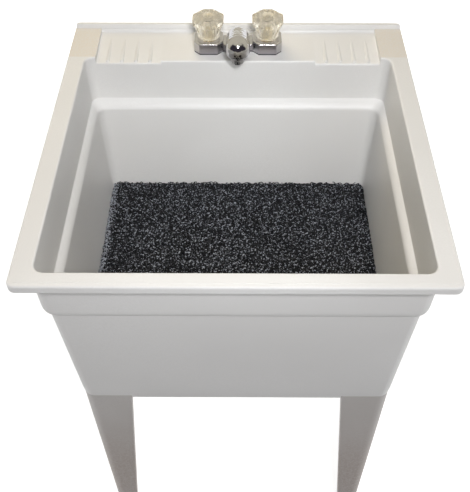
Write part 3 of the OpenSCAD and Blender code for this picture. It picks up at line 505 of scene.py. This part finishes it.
def make_casting(finish):
    """The faucet body as a polished casting: the CAD solid with rounded edges and joins."""
    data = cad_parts["faucet_body"].data.copy()
    data.name = "faucet_casting"
    start = bpy.data.objects.new("faucet_casting_start", data)
    bpy.context.scene.collection.objects.link(start)
    voxels = start.modifiers.new("voxels", "REMESH")
    voxels.mode = "VOXEL"
    voxels.voxel_size = CASTING_VOXEL
    relax = start.modifiers.new("relax", "SMOOTH")
    relax.factor = CASTING_RELAX
    relax.iterations = CASTING_PASSES
    bpy.context.view_layer.update()
    graph = bpy.context.evaluated_depsgraph_get()
    made = bpy.data.meshes.new_from_object(start.evaluated_get(graph))
    bpy.data.objects.remove(start)
    made.name = "faucet_casting"
    made.shade_smooth()
    made.materials.clear()
    made.materials.append(finish)
    body = bpy.data.objects.new("faucet_casting", made)
    bpy.context.scene.collection.objects.link(body)
    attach(body, "frame")
    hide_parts("faucet_body")


# ---------------------------------------------------------------- loop mat

MAT_SEED = 11
MAT_CORNER = 0.015
MAT_HEM = 0.006

# The filaments: rows across X, and in each row a coil that advances along Y.
MAT_ROW = 0.0064
MAT_ADVANCE = 0.0074
MAT_STEPS = 9  # points in a turn
MAT_STRAND = 0.00095
MAT_COIL = 0.0044
MAT_COIL_SIZES = (0.55, 1.35)
MAT_COIL_RISES = (0.25, 1.0)
MAT_STRAY_ACROSS = 0.0022
MAT_STRAY_ALONG = 0.0018
MAT_TILT_CHANGE = 1.1  # radians from turn to turn
MAT_COIL_FOOT = 0.003
MAT_INSET = 1.1 * MAT_STRAND
TUBE_SIDES = 4
TUBE_UP = (0.31, 0.17, 0.94)  # a direction that a filament hardly ever runs in

# The bed under them: points along X and Y, and how far its upper and lower edges draw in.
BED_WIDE = 60
BED_DEEP = 54
BED_HEIGHT = 0.0075
BED_LUMPS = 0.0006
BED_UPPER_INSET = 0.001
BED_LOWER_INSET = 0.0005

TINY = 1e-9  # in place of a length of nought before a division
FULL_TURN = 2 * math.pi


def eased(values, at):
    """values at whole numbers, joined smoothly and read at the places at."""
    low = np.floor(at).astype(int)
    share = at - low
    share = share * share * (3 - 2 * share)
    high = np.minimum(low + 1, len(values) - 1)
    return values[low] * (1 - share) + values[high] * share


def coil(rng, x, start, end, low, high):
    """One filament of the mat: overlapping loops laid along Y, each with its own size and tilt."""
    turns = int((end - start) / MAT_ADVANCE)
    at = np.linspace(0, turns, turns * MAT_STEPS + 1)
    count = turns + 2
    size = eased(MAT_COIL * rng.uniform(*MAT_COIL_SIZES, count), at)
    across = eased(rng.normal(0, MAT_STRAY_ACROSS, count), at)
    along = eased(rng.normal(0, MAT_STRAY_ALONG, count), at)
    first_tilt = rng.uniform(0, FULL_TURN)
    tilt = eased(first_tilt + np.cumsum(rng.normal(0, MAT_TILT_CHANGE, count)), at)
    rise = eased(rng.uniform(*MAT_COIL_RISES, count), at)
    angle = FULL_TURN * at * rng.choice((-1, 1)) + rng.uniform(0, FULL_TURN)
    points = np.empty((len(at), 3))
    points[:, 0] = x + across + size * np.cos(angle)
    points[:, 1] = start + MAT_ADVANCE * at + along + size * np.sin(angle)
    points[:, 2] = (low + high) / 2 + (high - low) / 2 * rise * np.sin(angle + tilt)
    return points


def tube(points, radius):
    """Vertices and quads of a square tube along points, closed at both ends."""
    along = np.gradient(points, axis=0)
    along /= np.maximum(np.linalg.norm(along, axis=1, keepdims=True), TINY)
    across = np.cross(along, np.tile(TUBE_UP, (len(points), 1)))
    across /= np.maximum(np.linalg.norm(across, axis=1, keepdims=True), TINY)
    other = np.cross(across, along)
    turn = (FULL_TURN * np.arange(TUBE_SIDES) / TUBE_SIDES)[None, :, None]
    ring = np.cos(turn) * across[:, None] + np.sin(turn) * other[:, None]
    verts = (points[:, None] + radius * ring).reshape(-1, 3)
    steps, sides = np.arange(len(points) - 1), np.arange(TUBE_SIDES)
    step, side = np.meshgrid(steps, sides, indexing="ij")
    here = step * TUBE_SIDES + side
    beside = step * TUBE_SIDES + (side + 1) % TUBE_SIDES
    quads = np.stack((here, beside, beside + TUBE_SIDES, here + TUBE_SIDES), axis=-1)
    ends = np.stack((sides[::-1], sides + len(verts) - TUBE_SIDES))
    return verts, np.concatenate((quads.reshape(-1, 4), ends))


def held_in(points, low, high, inset):
    """points kept in the mat's outline, which has round corners and draws in at the bottom."""
    height = np.clip(points[:, 2] - low.z, 0, MAT_HEM)
    draw = inset + MAT_HEM - np.sqrt(MAT_HEM ** 2 - (MAT_HEM - height) ** 2)
    middle = (np.array(low)[:2] + np.array(high)[:2]) / 2
    reach = (np.array(high)[:2] - np.array(low)[:2]) / 2
    away = points[:, :2] - middle
    size = np.minimum(np.abs(away), reach - draw[:, None])
    past = np.maximum(size - (reach - MAT_CORNER), 0)
    length = np.linalg.norm(past, axis=1)
    share = np.minimum(1, (MAT_CORNER - draw) / np.maximum(length, TINY))
    size = np.where(past > 0, reach - MAT_CORNER + past * share[:, None], size)
    kept = points.copy()
    kept[:, :2] = middle + np.sign(away) * size
    kept[:, 2] = np.clip(points[:, 2], low.z + inset, high.z - inset)
    return kept


def grid_rim(wide, deep):
    """The numbers of a grid's outer points, in order around it."""
    rim = [i * deep for i in range(wide)]
    rim += [(wide - 1) * deep + j for j in range(1, deep)]
    rim += [i * deep + deep - 1 for i in range(wide - 2, -1, -1)]
    rim += list(range(deep - 2, 0, -1))
    return np.array(rim)


def bed(rng, low, high):
    """Vertices and quads of the closed, lumpy bed of filament under the loops."""
    xs = np.linspace(low.x, high.x, BED_WIDE)
    ys = np.linspace(low.y, high.y, BED_DEEP)
    grid_x, grid_y = np.meshgrid(xs, ys, indexing="ij")
    height = low.z + BED_HEIGHT + rng.normal(0, BED_LUMPS, grid_x.shape)
    upper = np.stack((grid_x, grid_y, height), axis=-1).reshape(-1, 3)
    lower = upper.copy()
    lower[:, 2] = low.z
    upper = held_in(upper, low, high, BED_UPPER_INSET)
    lower = held_in(lower, low, high, BED_LOWER_INSET)
    i, j = np.meshgrid(np.arange(BED_WIDE - 1), np.arange(BED_DEEP - 1), indexing="ij")
    here = (i * BED_DEEP + j).ravel()
    beside = here + BED_DEEP
    top = np.stack((here, beside, beside + 1, here + 1), axis=1)
    below = len(upper)
    rim = grid_rim(BED_WIDE, BED_DEEP)
    after = np.roll(rim, -1)
    wall = np.stack((rim, rim + below, after + below, after), axis=1)
    quads = np.concatenate((top, top[:, ::-1] + below, wall))
    return np.concatenate((upper, lower)), quads


def mesh_object(name, verts, quads, finish):
    """An object of those vertices and quads, shaded smooth."""
    data = bpy.data.meshes.new(name)
    data.vertices.add(len(verts))
    data.vertices.foreach_set("co", np.asarray(verts, np.float32).ravel())
    data.loops.add(quads.size)
    data.loops.foreach_set("vertex_index", quads.astype(np.int32).ravel())
    data.polygons.add(len(quads))
    data.polygons.foreach_set("loop_start", np.arange(0, quads.size, 4, dtype=np.int32))
    data.update(calc_edges=True)
    data.validate()
    data.shade_smooth()
    data.materials.append(finish)
    obj = bpy.data.objects.new(name, data)
    bpy.context.scene.collection.objects.link(obj)
    return obj


def make_mat():
    """The loop mat: filaments coiled over a closed bed, inside the CAD mat's box."""
    rng = np.random.default_rng(MAT_SEED)
    low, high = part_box("loop_mat")
    verts, quads = bed(rng, low, high)
    all_verts, all_quads, base = [verts], [quads], len(verts)
    rows = int((high.x - low.x) / MAT_ROW)
    for row in range(rows):
        x = low.x + (row + 0.5) * (high.x - low.x) / rows
        points = coil(rng, x, low.y, high.y, low.z + MAT_COIL_FOOT, high.z - MAT_STRAND)
        verts, quads = tube(held_in(points, low, high, MAT_INSET), MAT_STRAND)
        all_verts.append(verts)
        all_quads.append(quads + base)
        base += len(verts)
    verts = np.clip(np.concatenate(all_verts), np.array(low), np.array(high))
    finish = mat_vinyl("mat_vinyl", low.x)
    obj = mesh_object("loop_mat_filaments", verts, np.concatenate(all_quads), finish)
    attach(obj, "mat")
    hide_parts("loop_mat")


# ---------------------------------------------------------------- light and stage

TUB_MIDDLE = (0.0, -0.05, 0.70)
DECK_MIDDLE = (0.0, 0.05, 0.8)
BACK_WALL = (0.0, 0.22, 0.72)
LOW_MIDDLE = (0.0, 0.0, 0.5)
LOW_SIZE = 1.2
LOW_POWER = 22.0
LOW_COLOUR = (0.97, 0.98, 1.0)

# What metal mirrors is a pale room, which is dim toward the front between floor and ceiling.
# Each range is of a direction's Y or Z, and goes from pale to dim.
ROOM_FRONT_Y = (0.02, -0.30)
ROOM_FLOOR_Z = (-0.12, 0.02)
ROOM_CEILING_Z = (0.86, 0.66)
ROOM_PALE = rgb(0.66, 0.62, 0.51)
ROOM_DIM = rgb(0.045, 0.040, 0.050)
AMBIENT_COLOUR = rgb(0.95, 0.97, 1.0)
AMBIENT = 0.09

FLOOR_HALF = 7.0
FLOOR_Z = -0.0005
FLOOR_TONES = (grey(0.62), grey(0.60))
FLOOR_TONE_SCALE = 3.0
FLOOR_UNSEEN = grey(0.24)
FLOOR_GLOW_AT = (0.8, 3.0)
FLOOR_GLOW = (0.74, 0.95)


def lamp(name, at, aim, size, power, colour, mirrored=False, spread=math.pi):
    """A square soft light, unseen by the camera, and by metal and acrylic unless mirrored."""
    data = bpy.data.lights.new(name, "AREA")
    data.shape = "SQUARE"
    data.size = size
    data.energy = power
    data.color = colour
    data.spread = spread
    obj = bpy.data.objects.new(name, data)
    obj.location = at
    obj.rotation_euler = (Vector(aim) - Vector(at)).to_track_quat("-Z", "Y").to_euler()
    obj.visible_camera = False
    obj.visible_glossy = mirrored
    obj.visible_transmission = mirrored
    bpy.context.scene.collection.objects.link(obj)


def make_lamps():
    """A key over the camera, a warm lamp high behind, a weak fill, and low side and rear lamps."""
    lamp(
        "key",
        at=(0.18, -1.2, 2.15),
        aim=TUB_MIDDLE,
        size=0.3,
        power=21.8,
        colour=(0.99, 0.985, 1.0),
        mirrored=True,
    )
    lamp(
        "high_rear",
        at=(-0.55, 1.25, 2.2),
        aim=DECK_MIDDLE,
        size=1.2,
        power=15.0,
        colour=(1.0, 0.87, 0.62),
    )
    lamp(
        "bounce",
        at=(0.0, -0.50, 1.25),
        aim=BACK_WALL,
        size=0.3,
        power=0.185,
        colour=(0.915, 0.965, 1.0),
        spread=0.9,
    )
    for side in (-1, 1):
        at_side, at_rear = (side * 2.4, 0.1, 0.50), (side * 1.5, 2.1, 0.60)
        lamp(f"side_{side}", at_side, LOW_MIDDLE, LOW_SIZE, LOW_POWER, LOW_COLOUR)
        lamp(f"rear_{side}", at_rear, LOW_MIDDLE, LOW_SIZE, LOW_POWER, LOW_COLOUR)


def make_world():
    """Soft ambient light, a white surround where it is seen, and the room that metal mirrors."""
    world = bpy.data.worlds.new("studio")
    bpy.context.scene.world = world
    tree = cleared_tree(world)
    way = add(tree, "ShaderNodeTexCoord").outputs["Generated"]
    front = remap(tree, part_of(tree, way, "Y"), *ROOM_FRONT_Y)
    above = remap(tree, part_of(tree, way, "Z"), *ROOM_FLOOR_Z)
    below = remap(tree, part_of(tree, way, "Z"), *ROOM_CEILING_Z)
    dim = product(tree, above, below, front)
    mirrored = blend_colour(tree, dim, ROOM_PALE, ROOM_DIM)
    path = add(tree, "ShaderNodeLightPath").outputs
    plain = maths(tree, "MAXIMUM", path["Is Camera Ray"], path["Is Transmission Ray"])
    ambient = add(tree, "ShaderNodeBackground", {"Color": AMBIENT_COLOUR, "Strength": AMBIENT})
    room = add(tree, "ShaderNodeBackground", {"Color": mirrored, "Strength": 1.0})
    white = add(tree, "ShaderNodeBackground", {"Color": grey(1.0), "Strength": 1.0})
    shares = {0: path["Is Glossy Ray"], 1: ambient.outputs[0], 2: room.outputs[0]}
    glossy = add(tree, "ShaderNodeMixShader", shares)
    shares = {0: plain, 1: glossy.outputs[0], 2: white.outputs[0]}
    mixed = add(tree, "ShaderNodeMixShader", shares)
    add(tree, "ShaderNodeOutputWorld", {"Surface": mixed.outputs[0]})


def seen_plainly(tree):
    """1 on a ray from the camera, or one that metal or glass sends on."""
    path = add(tree, "ShaderNodeLightPath").outputs
    seen = maths(tree, "MAXIMUM", path["Is Camera Ray"], path["Is Glossy Ray"])
    return maths(tree, "MAXIMUM", seen, path["Is Transmission Ray"])


def make_floor():
    """A plain pale floor, white to the camera but for the tub's soft shadow."""
    made = bpy.data.materials.new("floor")
    tree = cleared_tree(made)
    where = place(tree)
    tone = remap(tree, noise(tree, where, FLOOR_TONE_SCALE, detail=3.0), 0.3, 0.7)
    seen = seen_plainly(tree)
    colour = blend_colour(tree, tone, *FLOOR_TONES)
    colour = blend_colour(tree, seen, FLOOR_UNSEEN, colour)
    diffuse = add(tree, "ShaderNodeBsdfDiffuse", {"Color": colour})
    away = add(tree, "ShaderNodeVectorMath", {0: where}, operation="LENGTH").outputs["Value"]
    glow = product(tree, seen, remap(tree, away, *FLOOR_GLOW_AT, *FLOOR_GLOW))
    shine = add(tree, "ShaderNodeEmission", {"Color": grey(1.0), "Strength": glow})
    total = add(tree, "ShaderNodeAddShader", {0: diffuse.outputs[0], 1: shine.outputs[0]})
    add(tree, "ShaderNodeOutputMaterial", {"Surface": total.outputs[0]})
    corners = ((-1, -1), (1, -1), (1, 1), (-1, 1))
    verts = np.array([(x * FLOOR_HALF, y * FLOOR_HALF, FLOOR_Z) for x, y in corners])
    floor = mesh_object("floor", verts, np.array([[0, 1, 2, 3]]), made)


make_camera()
make_world()
make_floor()
make_lamps()
dress_tub()
dress_plastic()
dress_metal()
make_mat()
bpy.context.scene.view_settings.view_transform = "Standard"
